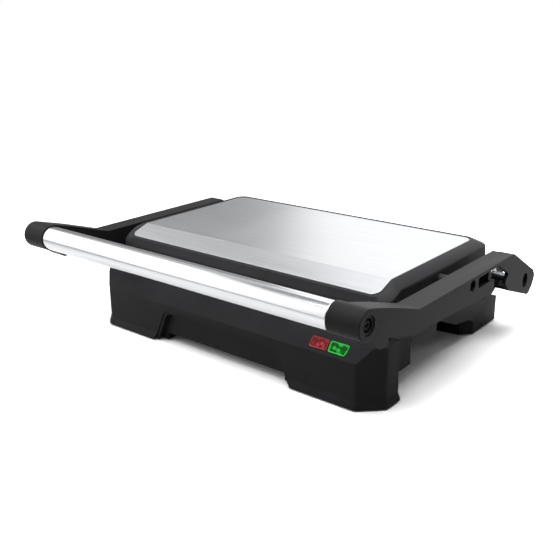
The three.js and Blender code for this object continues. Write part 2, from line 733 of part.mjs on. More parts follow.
// Snap-in bushing in the rear wall; the mains cord would pass through it.
function cordInlet() {
  const outer = deckRear + gap;
  const profile = [
    [2.9, -6], [inletRadius, -6], [inletRadius, 0], [7.2, 0], [7.2, 1], [6.4, 1.8], [2.9, 1.8], [2.9, -6],
  ].map(([radius, y]) => new THREE.Vector2(radius, y));
  return toSolid(new THREE.LatheGeometry(profile, 20).translate(0, outer, 0).translate(inletX, 0, inletZ));
}

node('cord_inlet', cordInlet(), ...rubber);

// Three-way terminal block on the tub's floor.
function terminalBlock() {
  const low = tubFloorZ + tubWall + gap;
  const body = box(60, 90, -3, 11, low, low + 9);
  const wells = [66, 75, 84].flatMap((x) => [0, 8].map((y) => alongZ(disc(x, y, 2.1), low + 5, low + 10)));
  return cut(body, ...wells, box(56, 94, 3.4, 4.6, low + 6, low + 10));
}

node('terminal_block', terminalBlock(), 0xe4e0d6, 0.55, 0);

// ---------------------------------------------------------------- lid

const coverSlope = (coverZ - coverFrontZ) / (coverFoldY - coverFront);

// Height of the steel cover's top at a given y.
const coverTop = (y) => (y >= coverFoldY ? coverZ : coverZ - (coverFoldY - y) * coverSlope);

// Height of the lid frame's outer edge at a given y.
const edgeTop = (y) => (
  y >= lidFoldY ? lidEdgeZ : lidEdgeZ - ((lidFoldY - y) / (lidFoldY - lidEdgeFront)) * (lidEdgeZ - lidFrontZ)
);

function lidPlan(half, front, rear, fold, frontRadius, rearRadius) {
  return [
    [half, fold], [half, rear, rearRadius], [-half, rear, rearRadius], [-half, fold],
    [-half, front, frontRadius], [half, front, frontRadius],
  ];
}

function lidRing(corners, heightAt) {
  return outline(corners, 5).map((point) => new THREE.Vector3(point.x, point.y, heightAt(point.y)));
}

// Everything below a line that follows the cover's top at a given depth.
function underCover(depth) {
  const reach = 20;
  return alongX(outline([
    [coverFront - reach, lidBottomZ], [coverRear + reach, lidBottomZ], [coverRear + reach, coverZ - depth],
    [coverFoldY, coverZ - depth], [coverFront - reach, coverTop(coverFront - reach) - depth],
  ]), -coverHalf - reach, coverHalf + reach);
}

const coverPlan = (grow) => outline(offset(lidPlan(coverHalf, coverFront, coverRear, coverFoldY, 7, 9), grow));

function lidFrame() {
  const edge = (inset) => lidPlan(
    lidEdgeHalf - inset, lidEdgeFront + inset, lidEdgeRear - inset, lidFoldY, 14, 12,
  );
  const seatDepth = coverRim + gap;
  const lipFall = (y) => (2 * Math.max(0, coverFoldY - y)) / (coverFoldY - coverFront);
  const lipRise = (y) => lipAbove * (1 - lipFall(y));
  const lip = (grow, heightAt) => lidRing(
    lidPlan(coverHalf + grow, coverFront - grow, coverRear + grow, coverFoldY, 7, 9), heightAt,
  );
  const outer = cut(
    loft([
      lidRing(lidPlan(lidBottomHalf, lidBottomFront, lidBottomRear, lidFoldY, 14, 12), () => lidBottomZ),
      lidRing(edge(0), (y) => edgeTop(y) - 1),
      lidRing(edge(0.8), (y) => edgeTop(y)),
      lip(lipWidth, (y) => coverTop(y) + lipRise(y)),
      lip(-1, (y) => coverTop(y) + lipRise(y) + 0.05),
      lip(-1.5, () => coverZ + 2),
    ]),
    cut(alongZ(coverPlan(0.5), lidBottomZ, coverZ + 3), underCover(coverSheet + gap)),
    cut(
      alongZ(coverPlan(0.5), lidBottomZ, coverZ + 3),
      alongZ(coverPlan(-coverSheet - 0.5), 0, coverZ + 4),
      underCover(seatDepth),
    ),
  );

  // Hollow between the outer walls and the well of the upper plate
  const innerSide = [
    [lidEdgeFront + lidWall, lidBottomZ + lidWall], [lidEdgeRear - lidWall, lidBottomZ + lidWall],
    [lidEdgeRear - lidWall, lidEdgeZ - lidWall - 1], [lidFoldY, lidEdgeZ - lidWall - 1],
    [lidEdgeFront + lidWall, lidFrontZ - lidWall],
  ];
  const innerPlan = rectangle(
    -lidEdgeHalf + lidWall, lidEdgeHalf - lidWall, lidEdgeFront + lidWall, lidEdgeRear - lidWall, 11,
  );
  const deckHollow = box(5 - plateHalf, plateHalf - 5, -62, 64, lidEdgeZ - 5, coverZ - coverSheet - gap - lidWall);
  const wellPlan = offset(platePlan, wellGap);
  const ledgeLow = flipZ - ledgeTopZ;
  const ledgeHigh = flipZ - ledgeUnderZ;
  const wellBlock = alongZ(outline(offset(wellPlan, wellWall)), lidBottomZ, ledgeHigh);

  // Notched corners let the hinge towers pass when the lid is swung open; they are walled off from the hollow.
  const notchInner = bodyHalf - towerWidth - notchClear;
  const notchFront = hingeY - towerHalf - 7.5;
  const notchTop = hingeZ + 15.5;
  const towerNotch = box(notchInner, lidBottomHalf + 1, notchFront, lidBottomRear + 1, 50, notchTop);
  const notchWall = box(
    notchInner - lidWall, lidBottomHalf, notchFront - lidWall, lidBottomRear, lidBottomZ, notchTop + lidWall,
  );
  const roomy = common(
    alongX(outline(innerSide), -lidEdgeHalf, lidEdgeHalf), alongZ(outline(innerPlan), 0, coverZ),
  );
  const hollow = cut(join(roomy, deckHollow), wellBlock, notchWall, moved(notchWall, leftHand));
  const pivotBoss = alongX(disc(pivotY, pivotZ, pivotBossRadius), lidEdgeHalf - 7.7, armInner - gap);
  return cut(
    join(cut(outer, hollow), pivotBoss, moved(pivotBoss, leftHand)),
    alongZ(outline(wellPlan), lidBottomZ - 1, ledgeLow),
    alongZ(outline(offset(platePlan, -ledgeWidth)), lidBottomZ, ledgeHigh + 1),
    alongX(disc(pivotY, pivotZ, shoulderScrew.shank + gap), lidEdgeHalf - 2.7, armInner),
    alongX(disc(pivotY, pivotZ, shoulderScrew.shank + gap), -armInner, 2.7 - lidEdgeHalf),
    towerNotch,
    moved(towerNotch, leftHand),
  );
}

node('lid_frame', lidFrame(), ...blackPlastic);

// Steel cover: a bent sheet with a rim turned down all round.
function steelCover() {
  const sheet = common(alongZ(coverPlan(0), lidBottomZ, coverZ + 1), underCover(0));
  const inside = common(alongZ(coverPlan(-coverSheet), lidBottomZ, coverZ + 1), underCover(coverSheet));
  return cut(sheet, inside, underCover(coverRim));
}

node('steel_cover', steelCover(), ...brushedSteel);

// ---------------------------------------------------------------- arms

const armFront = [
  [-156, 80], [-151, 72.8, 2], [-140.5, 72.6, 1.5], [-140.5, 77.3], [-114.7, 69.7], [-100.9, 66.2], [-67.8, 66.2],
  [-35.6, 64.4], [9.5, 61.6], [21.4, 62, 3],
];
const armCrest = [[-98.6, armTopZ, 12], [-136.8, 98.1, 20], [handleY + 3.2, handleZ + 10.93]];
const armTail = [
  [50.5, 63.5, 3], [61, 53, 4], [106.4, 36.4, 4], [114, 42.4, 4], [119.8, 52, 6], [114.4, 58.4, 4],
  [66.2, armTopZ, 8], ...armCrest,
];
const armEnvelope = [...armFront, ...armTail];
const armOutline = [
  ...armFront, [27.9, 66.2, 2], [27.9, 73.2, 1.5], [-3, 73.2, 2], [-3, 82.4, 2], [36, 82.4, 3], [57.5, 69.6, 1.5],
  ...armTail,
];
const innerWallOutline = [...armFront, [34, 72, 6], [60, armTopZ - 5, 4], [62, armTopZ], ...armCrest];

// Band of a given thickness along the upper and rear edge of the arm's outline.
function edgeBand(thickness, from, to) {
  const inner = offset(armEnvelope, -thickness);
  return cut(alongX(outline(armEnvelope), from, to), alongX(outline(inner), from - 1, to + 1));
}

// Everything above the arm's lower edge by at least a little: keeps only the top part of the band.
function topBand() {
  const keep = [
    [handleY, 92], [-136, 84], [-98, armTopZ - 9], [64, armTopZ - 9], [64, 110], [handleY, 130],
  ];
  return common(edgeBand(armWeb, armInner, armOuter), alongX(outline(keep), armInner - 1, armOuter + 1));
}

function rearBand() {
  const slope = [[62, 75], [98, 55], [104, 44], [124, 44], [124, 70], [62, 96]];
  const heel = [[80, 30], [124, 30], [124, 44.5], [106, 44.5], [84, 56], [80, 56]];
  const bandInner = armOuter - 13.4;
  return join(
    common(edgeBand(armWeb, bandInner, armOuter), alongX(outline(slope), bandInner - 1, armOuter + 1)),
    common(edgeBand(armWeb, knuckleInner, armOuter), alongX(outline(heel), knuckleInner - 1, armOuter + 1)),
  );
}

function arm() {
  const skin = alongX(outline(armOutline), armOuter - armSkin, armOuter);
  const innerWall = alongX(outline(innerWallOutline), armInner, armInner + armWeb);
  const knuckle = alongX(outline([
    [82, 33.3, 2], [95, 34, 3], [101.5, 38, 2], [112, 42.6], [117.6, 52.2], [112.6, 58], [101, 61.4, 4],
    [hingeY - towerHalf + 0.6, 61.4, 7],
  ]), knuckleInner, knuckleInner + knuckleThickness);
  const collar = alongX(disc(handleY, handleZ, collarRadius), collarInner, collarOuter);
  const spigot = alongX(disc(handleY, handleZ, handleBore - gap), collarInner - spigotLength, collarInner + 1);
  const fillet = alongX(outline([
    [handleY, handleZ - 9], [-151, 72.8, 2], [-140.5, 72.6, 1.5], [-140.5, 99], [handleY, handleZ + 9],
  ]), armInner, armOuter);
  const ribs = [-118, -76, 18].map((y) => common(
    box(armInner + 1, armOuter - 1, y, y + 2.5, 60, 110),
    alongX(outline(innerWallOutline), armInner, armOuter),
  ));
  const pinWindow = rectangle(
    windowY - windowHalf, windowY + windowHalf, windowZ - windowRise, windowZ + windowRise, windowHalf - 0.01,
  );
  return cut(
    join(skin, innerWall, topBand(), rearBand(), knuckle, collar, spigot, fillet, ...ribs),
    alongX(disc(handleY, handleZ, largeScrew.shank + gap), collarInner - spigotLength - 1, collarOuter),
    alongX(disc(handleY, handleZ, 5.2), collarOuter - 4.8, collarOuter + 1),
    alongX(disc(handleY, handleZ, 7.2), collarOuter - 0.9, collarOuter + 1),
    alongX(disc(pivotY, pivotZ, shoulderScrew.shank + gap), armInner - 1, armInner + armWeb + 1),
    alongX(disc(pivotY, pivotZ, 4.8), armOuter - armSkin - 1, armOuter + 1),
    alongX(disc(hingeY, hingeZ, pinRadius + gap), knuckleInner - 1, knuckleInner + knuckleThickness + 1),
    alongX(outline(pinWindow), armOuter - armSkin - 1, armOuter + 1),
  );
}

const rightArm = arm();
node('arm_right', rightArm, ...blackPlastic);
node('arm_left', moved(rightArm, leftHand), ...blackPlastic);

// ---------------------------------------------------------------- handle

const tubeEnd = collarInner - gap;
const handleTube = cut(
  alongX(disc(handleY, handleZ, handleRadius), -tubeEnd, tubeEnd),
  alongX(disc(handleY, handleZ, handleBore), -tubeEnd - 1, tubeEnd + 1),
);
node('handle_tube', handleTube, ...brushedSteel);

const plugOuter = collarInner - spigotLength - gap;
const handlePlug = cut(
  alongX(disc(handleY, handleZ, handleBore - gap), plugOuter - 13, plugOuter),
  alongX(disc(handleY, handleZ, largeScrew.shank + gap), plugOuter - 11, plugOuter + 1),
);
const handleScrewSeat = collarOuter - 4.8 + gap;
const handleScrew = moved(
  moved(screw(largeScrew, handleScrewSeat - plugOuter + 9, 2.9), pointingIn),
  new THREE.Matrix4().makeTranslation(handleScrewSeat, handleY, handleZ),
);
const pivotScrewSeat = armInner + armWeb + gap;
const pivotScrew = moved(
  moved(screw(shoulderScrew, pivotScrewSeat - lidEdgeHalf + 1.2, 2.9), pointingIn),
  new THREE.Matrix4().makeTranslation(pivotScrewSeat, pivotY, pivotZ),
);

// ---------------------------------------------------------------- hinge pins

const clipX = knuckleInner + knuckleThickness + gap;
const clipSheet = 1;

function hingePin() {
  const pinEnd = armOuter - armSkin - gap;
  const headEnd = bodyHalf - towerWidth - gap;
  const profile = [
    [0, headEnd - 3], [5, headEnd - 3], [5.6, headEnd - 2.4], [5.6, headEnd], [pinRadius, headEnd],
    [pinRadius, clipX - 0.1], [2.9, clipX - 0.1], [2.9, clipX + clipSheet + 0.3],
    [pinRadius, clipX + clipSheet + 0.3], [pinRadius, pinEnd - 0.5], [pinRadius - 0.5, pinEnd], [0, pinEnd],
  ].map(([radius, x]) => new THREE.Vector2(radius, x));
  const turned = new THREE.LatheGeometry(profile, 20).rotateZ(-Math.PI / 2);
  return toSolid(turned.translate(0, hingeY, hingeZ));
}

// Retaining clip: an open ring pushed into the pin's groove.
function pinClip() {
  return cut(
    alongX(disc(hingeY, hingeZ, 6.5), clipX, clipX + clipSheet),
    alongX(disc(hingeY, hingeZ, 3.2), clipX - 1, clipX + 2),
    alongX(outline([[hingeY - 2.4, hingeZ], [hingeY - 4.4, hingeZ - 9], [hingeY + 4.4, hingeZ - 9],
      [hingeY + 2.4, hingeZ]]), clipX - 1, clipX + 2),
  );
}

const pairs = [
  ['hinge_tower', hingeTower(), blackPlastic],
  ['hinge_tower_screw', towerScrew, zincSteel],
  ['handle_plug', handlePlug, [0xa9acae, 0.5, 1]],
  ['handle_screw', handleScrew, zincSteel],
  ['pivot_screw', pivotScrew, zincSteel],
  ['hinge_pin', hingePin(), [0xd3d5d7, 0.2, 1]],
  ['pin_clip', pinClip(), [0xc4c6c8, 0.3, 1]],
];
pairs.forEach(([name, solid, finish]) => {
  node(`${name}_right`, solid, ...finish);
  node(`${name}_left`, moved(solid, leftHand), ...finish);
});

export default group;
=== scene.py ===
import json
import math
import bmesh
import bpy
from mathutils import Matrix, Vector

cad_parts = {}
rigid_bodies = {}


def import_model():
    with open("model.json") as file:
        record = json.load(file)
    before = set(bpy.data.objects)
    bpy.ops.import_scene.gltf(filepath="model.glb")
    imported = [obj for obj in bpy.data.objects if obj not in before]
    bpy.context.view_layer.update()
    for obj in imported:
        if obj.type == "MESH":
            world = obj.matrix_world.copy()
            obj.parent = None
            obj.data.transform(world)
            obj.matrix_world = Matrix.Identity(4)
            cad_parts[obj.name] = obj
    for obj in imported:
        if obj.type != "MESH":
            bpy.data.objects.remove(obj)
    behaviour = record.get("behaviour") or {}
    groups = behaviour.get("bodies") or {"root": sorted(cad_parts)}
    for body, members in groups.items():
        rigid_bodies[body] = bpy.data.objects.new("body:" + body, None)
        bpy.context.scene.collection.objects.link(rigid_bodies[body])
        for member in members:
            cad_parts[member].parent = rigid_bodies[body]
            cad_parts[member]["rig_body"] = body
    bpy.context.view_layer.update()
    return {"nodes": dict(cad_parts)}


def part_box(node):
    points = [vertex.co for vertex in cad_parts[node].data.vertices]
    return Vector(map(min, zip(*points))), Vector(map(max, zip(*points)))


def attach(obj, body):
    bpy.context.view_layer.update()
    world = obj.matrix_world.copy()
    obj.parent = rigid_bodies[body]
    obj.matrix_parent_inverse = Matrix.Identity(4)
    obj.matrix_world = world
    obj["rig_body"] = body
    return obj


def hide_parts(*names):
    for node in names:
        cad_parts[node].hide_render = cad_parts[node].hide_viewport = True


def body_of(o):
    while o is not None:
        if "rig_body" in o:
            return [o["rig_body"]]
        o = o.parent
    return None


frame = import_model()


nodes = frame["nodes"]
mm = 0.001
white = (1.0, 1.0, 1.0, 1.0)


def linearColour(hexText):
    channels = [int(hexText[i:i + 2], 16) / 255 for i in (1, 3, 5)]
    return tuple(c / 12.92 if c <= 0.04045 else ((c + 0.055) / 1.055) ** 2.4 for c in channels) + (1.0,)


def addNode(tree, kind, values=None, links=None, **settings):
    node = tree.nodes.new(kind)
    for setting, value in settings.items():
        setattr(node, setting, value)
    for socket, value in (values or {}).items():
        node.inputs[socket].default_value = value
    for socket, source in (links or {}).items():
        tree.links.new(source, node.inputs[socket])
    return node


def emptyTree(owner):
    owner.use_nodes = True
    owner.node_tree.nodes.clear()
    return owner.node_tree


def newMaterial(name):
    material = bpy.data.materials.new(name)
    tree = emptyTree(material)
    shader = addNode(tree, "ShaderNodeBsdfPrincipled")
    addNode(tree, "ShaderNodeOutputMaterial", links={"Surface": shader.outputs["BSDF"]})
    place = addNode(tree, "ShaderNodeTexCoord").outputs["Object"]
    return material, tree, shader, place


def perMetre(size):  # noise scale for a pattern whose features are this many millimetres apart
    return 1 / (size * mm)


# Colours, gloss and relief of a surface, each led by one of its patterns; the relief's height is in mm.
def dressSurface(tree, shader, tones, span, dark, light, wear, roughness, relief, strength, height):
    part = addNode(tree, "ShaderNodeMapRange", {"From Min": span[0], "From Max": span[1]}, {"Value": tones})
    paint = addNode(tree, "ShaderNodeMix", {6: linearColour(dark), 7: linearColour(light)},
                    {0: part.outputs["Result"]}, data_type="RGBA")
    tree.links.new(paint.outputs[2], shader.inputs["Base Color"])
    gloss = addNode(tree, "ShaderNodeMapRange", {"To Min": roughness[0], "To Max": roughness[1]},
                    {"Value": wear})
    tree.links.new(gloss.outputs["Result"], shader.inputs["Roughness"])
    bump = addNode(tree, "ShaderNodeBump", {"Strength": strength, "Distance": height * mm},
                   {"Height": relief})
    tree.links.new(bump.outputs["Normal"], shader.inputs["Normal"])


# Injection-moulded black ABS: a matt skin with the tool's spark-eroded grain and a faint cloudiness.
# Real grain is about 0.1 mm wide and is drawn coarser, so that it shows.
def mouldedPlastic(name, dark, light, rough, gloss, grain=0.45):
    material, tree, shader, place = newMaterial(name)
    fine = addNode(tree, "ShaderNodeTexNoise", {"Scale": perMetre(grain), "Detail": 3.0, "Roughness": 0.6},
                   {"Vector": place}).outputs["Fac"]
    cloud = addNode(tree, "ShaderNodeTexNoise", {"Scale": perMetre(45.455), "Detail": 4.0, "Roughness": 0.55},
                    {"Vector": place}).outputs["Fac"]
    wear = addNode(tree, "ShaderNodeMath", {1: 0.35}, {0: fine, 2: cloud}, operation="MULTIPLY_ADD")
    dressSurface(tree, shader, tones=cloud, span=(0.3, 0.72), dark=dark, light=light,
                 wear=wear.outputs[0], roughness=(rough - 0.05, rough + 0.06),
                 relief=fine, strength=0.35, height=0.04)
    shader.inputs["Specular IOR Level"].default_value = gloss
    return material


# Belt-brushed stainless or aluminised sheet: long scratches from left to right that draw the light out.
# Real scratches lie some 0.05 mm apart and are drawn wider, so that they show.
def brushedSheet(name, dark, light, rough, length=71.43, pitch=0.6667, drawn=0.0, vary=0.09, depth=0.12):
    material, tree, shader, place = newMaterial(name)
    shader.inputs["Metallic"].default_value = 1.0
    if drawn:  # the highlight spreads across the scratches
        normal = addNode(tree, "ShaderNodeNewGeometry").outputs["Normal"]
        lay = addNode(tree, "ShaderNodeVectorMath", {1: (0, 1, 0)}, {0: normal}, operation="CROSS_PRODUCT")
        tree.links.new(lay.outputs["Vector"], shader.inputs["Tangent"])
        shader.inputs["Anisotropic"].default_value = drawn
    scale = (perMetre(length), perMetre(pitch), perMetre(pitch))
    along = addNode(tree, "ShaderNodeMapping", {"Scale": scale}, {"Vector": place})
    lines = addNode(tree, "ShaderNodeTexNoise", {"Scale": 1.0, "Detail": 5.0, "Roughness": 0.65},
                    {"Vector": along.outputs["Vector"]}).outputs["Fac"]
    cloud = addNode(tree, "ShaderNodeTexNoise", {"Scale": perMetre(111.11), "Detail": 2.0},
                    {"Vector": place}).outputs["Fac"]
    wear = addNode(tree, "ShaderNodeMath", {1: 0.5}, {0: cloud, 2: lines}, operation="MULTIPLY_ADD")
    dressSurface(tree, shader, tones=lines, span=(0.3, 0.7), dark=dark, light=light,
                 wear=wear.outputs[0], roughness=(rough - vary, rough + vary),
                 relief=lines, strength=depth, height=0.02)
    return material


# Turned, plated, oxidised or polished metal: even, with a faint mottling.
# Real mottling is finer than 0.5 mm and is drawn coarser, so that it shows.
def platedSteel(name, dark, light, rough, mottle=1.1111):
    material, tree, shader, place = newMaterial(name)
    shader.inputs["Metallic"].default_value = 1.0
    spots = addNode(tree, "ShaderNodeTexNoise", {"Scale": perMetre(mottle), "Detail": 3.0},
                    {"Vector": place}).outputs["Fac"]
    dressSurface(tree, shader, tones=spots, span=(0.35, 0.65), dark=dark, light=light,
                 wear=spots, roughness=(rough - 0.07, rough + 0.07),
                 relief=spots, strength=0.1, height=0.02)
    return material


# Die-cast plate with a sprayed and baked non-stick coat: pinhead flecks and a soft, orange-peel sheen.
def nonStickCoat(name, dark, fleck):
    material, tree, shader, place = newMaterial(name)
    flecks = addNode(tree, "ShaderNodeTexVoronoi", {"Scale": perMetre(1.1111)},
                     {"Vector": place}).outputs["Distance"]
    peel = addNode(tree, "ShaderNodeTexNoise", {"Scale": perMetre(0.9091), "Detail": 2.0},
                   {"Vector": place}).outputs["Fac"]
    dressSurface(tree, shader, tones=flecks, span=(0.05, 0.22), dark=fleck, light=dark,
                 wear=peel, roughness=(0.3, 0.46), relief=peel, strength=0.3, height=0.04)
    shader.inputs["Specular IOR Level"].default_value = 0.6
    return material


# Moulded polycarbonate lens, lit by the lamp behind it. The red or green is its own colour, while the brighter
# rim and the light centres of the moulded cushions are painted glow of that lamp, and the whole face glows.
def signalLens(name, dark, light, rimGlowColour, power):
    material, tree, shader, place = newMaterial(name)
    # Painted glow: each moulded cushion is lighter at its centre and darker at its edge, as the lamp shines
    # through it.
    cushions = addNode(tree, "ShaderNodeTexVoronoi", {"Scale": perMetre(3.8462), "Randomness": 0.8},
                       {"Vector": place}, distance="MANHATTAN").outputs["Distance"]
    part = addNode(tree, "ShaderNodeMapRange", {"From Min": 0.25, "From Max": 0.85}, {"Value": cushions})
    face = addNode(tree, "ShaderNodeMix", {6: linearColour(light), 7: linearColour(dark)},
                   {0: part.outputs["Result"]}, data_type="RGBA")
    # Painted glow: the rim faces take the lighter rim colour, which stands in for the lamp's light at the
    # lens's edge.
    onRim = addNode(tree, "ShaderNodeAttribute", attribute_name="rim").outputs["Fac"]
    paint = addNode(tree, "ShaderNodeMix", {7: linearColour(rimGlowColour)}, {0: onRim, 6: face.outputs[2]},
                    data_type="RGBA")
    for socket in ("Base Color", "Emission Color"):
        tree.links.new(paint.outputs[2], shader.inputs[socket])
    shader.inputs["Emission Strength"].default_value = power
    shader.inputs["Roughness"].default_value = 0.3
    shader.inputs["Specular IOR Level"].default_value = 0.2
    shader.inputs["Coat Weight"].default_value = 0.08
    bump = addNode(tree, "ShaderNodeBump", {"Strength": 0.5, "Distance": 0.2 * mm}, {"Height": cushions})
    tree.links.new(bump.outputs["Normal"], shader.inputs["Normal"])
    return material


# Moulded rubber or nylon and pressed ceramic: matt, with a chalky bloom.
# Real bloom is finer than 0.3 mm and is drawn coarser, so that it shows.
def mattBody(name, dark, light, rough, speck=1.4286):
    material, tree, shader, place = newMaterial(name)
    bloom = addNode(tree, "ShaderNodeTexNoise", {"Scale": perMetre(speck), "Detail": 4.0, "Roughness": 0.7},
                    {"Vector": place}).outputs["Fac"]
    dressSurface(tree, shader, tones=bloom, span=(0.35, 0.7), dark=dark, light=light,
                 wear=bloom, roughness=(rough - 0.08, rough + 0.08),
                 relief=bloom, strength=0.4, height=0.05)
    return material


finishes = {
    # Black ABS from etched moulds: matt and nearly black, glossier on the lid and coarser on the arms.
    "housing": mouldedPlastic("matt_abs_housing", "#202022", "#28282a", rough=0.5, gloss=0.1),
    "lid": mouldedPlastic("matt_abs_lid", "#212123", "#29292b", rough=0.46, gloss=0.15),
    "arm": mouldedPlastic("matt_abs_arm", "#1b1b1c", "#222223", rough=0.46, gloss=0.1, grain=0.6),
    # Belt-brushed sheet: reflections stretch and soften into broad grey bands.
    "cover": brushedSheet("brushed_stainless_cover", "#b9bbbe", "#cfd1d3", rough=0.28, drawn=0.3),
    # Satin-ground tube: much finer scratches, so it mirrors the room in clear light and dark strips.
    "tube": brushedSheet("satin_stainless_tube", "#cccdd0", "#dcdee0", rough=0.17, length=111.11, pitch=0.5263,
                         vary=0.04, depth=0.05),
    # Rolled steel with hot-dipped aluminium: pale and dull, with wide roller marks.
    "shield": brushedSheet("aluminised_shield_sheet", "#a8aaa8", "#c2c4c2", rough=0.42,
                           length=16.667, pitch=2.0),
    # Sprayed non-stick coat on cast aluminium: nearly black, with grey flecks and a soft sheen.
    "plate": nonStickCoat("non_stick_cast_plate", "#1b1b1d", "#3a3a3d"),
    # Drawn steel sheath, dulled by heat: a warm, blotchy grey.
    "element": platedSteel("heat_dulled_rod", "#6f6a63", "#938e86", rough=0.5, mottle=3.3333),
    # Bright zinc plate: a cool, even grey with soft highlights.
    "zinc": platedSteel("zinc_plated_screw", "#a4a8ac", "#c3c7ca", rough=0.36),
    # Ground steel: its dark grey is painted shade for the dark surroundings that the pin mirrors, and it keeps
    # a clear highlight.
    "pin": platedSteel("ground_steel_pin", "#57595c", "#6a6c6f", rough=0.3, mottle=0.6667),
    # Black oxide: almost as dark as the plastic round it, with a metal's glint.
    "blackScrew": platedSteel("black_oxide_screw", "#151517", "#202022", rough=0.5, mottle=1.4286),
    # Rolled spring steel: the brightest of the small parts.
    "clip": platedSteel("spring_steel_clip", "#b3b6b9", "#d2d4d6", rough=0.3),
    # Turned aluminium: pale and slightly dull.
    "plug": platedSteel("turned_aluminium_plug", "#a2a5a8", "#babdbf", rough=0.42),
    # Drawn brass can: yellow, a little tarnished.
    "fuse": platedSteel("brass_fuse_can", "#a98c4e", "#c9ac68", rough=0.35, mottle=1.6667),
    # Moulded rubber: black, with hardly any highlight.
    "rubber": mattBody("moulded_rubber", "#141415", "#1d1d1f", rough=0.8),
    # Moulded nylon without pigment: creamy and half matt.
    "nylon": mattBody("cream_nylon", "#cfcabb", "#dedacd", rough=0.55),
    # Pressed and glazed ceramic: off-white with a soft gloss.
    "ceramic": mattBody("glazed_ceramic", "#cdc6b6", "#ddd8ca", rough=0.4, speck=2.5),
    # Moulded polycarbonate: deep colour in the face, with painted glow lighter at the rim and in the cushions'
    # centres, the green lamp lit more than the red.
    "red": signalLens("red_signal_lens", "#5a1214", "#b43436", rimGlowColour="#983032", power=0.1),
    "green": signalLens("green_signal_lens", "#023c0a", "#14b430", rimGlowColour="#22b63c", power=0.3),
}
print("finishes made:", len(finishes))

# The first word that a node's name holds gives its finish.
finishWords = (
    ("handle_screw", "blackScrew"), ("screw", "zinc"), ("foot_", "rubber"), ("cord_inlet", "rubber"),
    ("_plate", "plate"), ("element", "element"), ("shield", "shield"), ("thermostat", "ceramic"),
    ("thermal_fuse", "fuse"), ("hinge_pin", "pin"), ("pin_clip", "clip"), ("handle_plug", "plug"),
    ("lamp_holder", "nylon"), ("terminal", "nylon"), ("power_lens", "red"), ("ready_lens", "green"),
    ("steel_cover", "cover"), ("handle_tube", "tube"), ("arm_", "arm"), ("lid_frame", "lid"),
    ("base_housing", "housing"), ("bottom_cover", "housing"), ("hinge_tower", "housing"),
)


def finishOf(node):
    return next(finish for word, finish in finishWords if word in node)


def addObject(name, data):
    thing = bpy.data.objects.new(name, data)
    bpy.context.scene.collection.objects.link(thing)
    return thing


def meshFrom(bm, name):
    mesh = bpy.data.meshes.new(name)
    bm.to_mesh(mesh)
    bm.free()
    return mesh


# A finished piece that takes a CAD node's place on its body.
def addPiece(bm, node, body):
    piece = addObject(node + "_finished", meshFrom(bm, node + "_finished"))
    piece.data.materials.append(finishes[finishOf(node)])
    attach(piece, body)
    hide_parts(node)
    return piece


def smoothByAngle(bm, degrees):
    for face in bm.faces:
        face.smooth = True
    for edge in bm.edges:
        edge.smooth = len(edge.link_faces) == 2 and edge.calc_face_angle() < math.radians(degrees)


weld = {"distance": 0.004, "flat": 0.4}  # mm between doubled corners, degrees between faces made one


def mergedCopy(node):
    bm = bmesh.new()
    bm.from_mesh(nodes[node].data)
    bmesh.ops.remove_doubles(bm, verts=bm.verts, dist=weld["distance"] * mm)
    bmesh.ops.dissolve_limit(bm, angle_limit=math.radians(weld["flat"]), verts=bm.verts, edges=bm.edges)
    return bm


def roundEdges(piece, radius, segments, sharpest):
    bevel = piece.modifiers.new("edges", "BEVEL")
    bevel.width = radius * mm
    bevel.segments = segments
    bevel.limit_method = "ANGLE"
    bevel.angle_limit = math.radians(sharpest)
    bevel.use_clamp_overlap = True
    bevel.harden_normals = True


collar = {"rimRadius": 2.2, "segments": 4, "reach": 10.0, "planar": 0.05, "round": 0.1}


# The end of the handle's collar turns into its round side in a full, soft radius.
def roundCollar(bm):
    low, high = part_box("handle_tube")
    axisY, axisZ = (low.y + high.y) / 2, (low.z + high.z) / 2
    outer = max(abs(vert.co.x) for vert in bm.verts)
    rim = []
    for edge in bm.edges:
        away = [math.hypot(vert.co.y - axisY, vert.co.z - axisZ) for vert in edge.verts]
        onEnd = all(abs(abs(vert.co.x) - outer) < collar["planar"] * mm for vert in edge.verts)
        if onEnd and min(away) > collar["reach"] * mm and max(away) - min(away) < collar["round"] * mm:
            rim.append(edge)
    bmesh.ops.bevel(bm, geom=rim, offset=collar["rimRadius"] * mm, offset_type="OFFSET",
                    segments=collar["segments"], profile=0.5, affect="EDGES", material=-1, clamp_overlap=True)
    for face in bm.faces:
        face.smooth = True


moulding = {"segments": 2, "sharpest": 35, "longEdge": 15.0}
edgeRadii = {
    "base_housing": 0.7, "bottom_cover": 0.5, "arm_right": 0.8, "arm_left": 0.8, "lid_frame": 0.7,
    "steel_cover": 0.22, "lower_plate": 0.35, "upper_plate": 0.35,
    "handle_screw_right": 0.2, "handle_screw_left": 0.2, "pivot_screw_right": 0.2, "pivot_screw_left": 0.2,
    "cord_inlet": 0.3, "pin_clip_right": 0.15, "pin_clip_left": 0.15, "hinge_pin_right": 0.2,
    "hinge_pin_left": 0.2, "terminal_block": 0.3, "hinge_tower_right": 0.5, "hinge_tower_left": 0.5,
    "lower_heat_shield": 0.15, "upper_heat_shield": 0.15,
}
creaseAngles = {"lid_frame": 6, "steel_cover": 6, "arm_right": 20, "arm_left": 20}  # other pieces have none


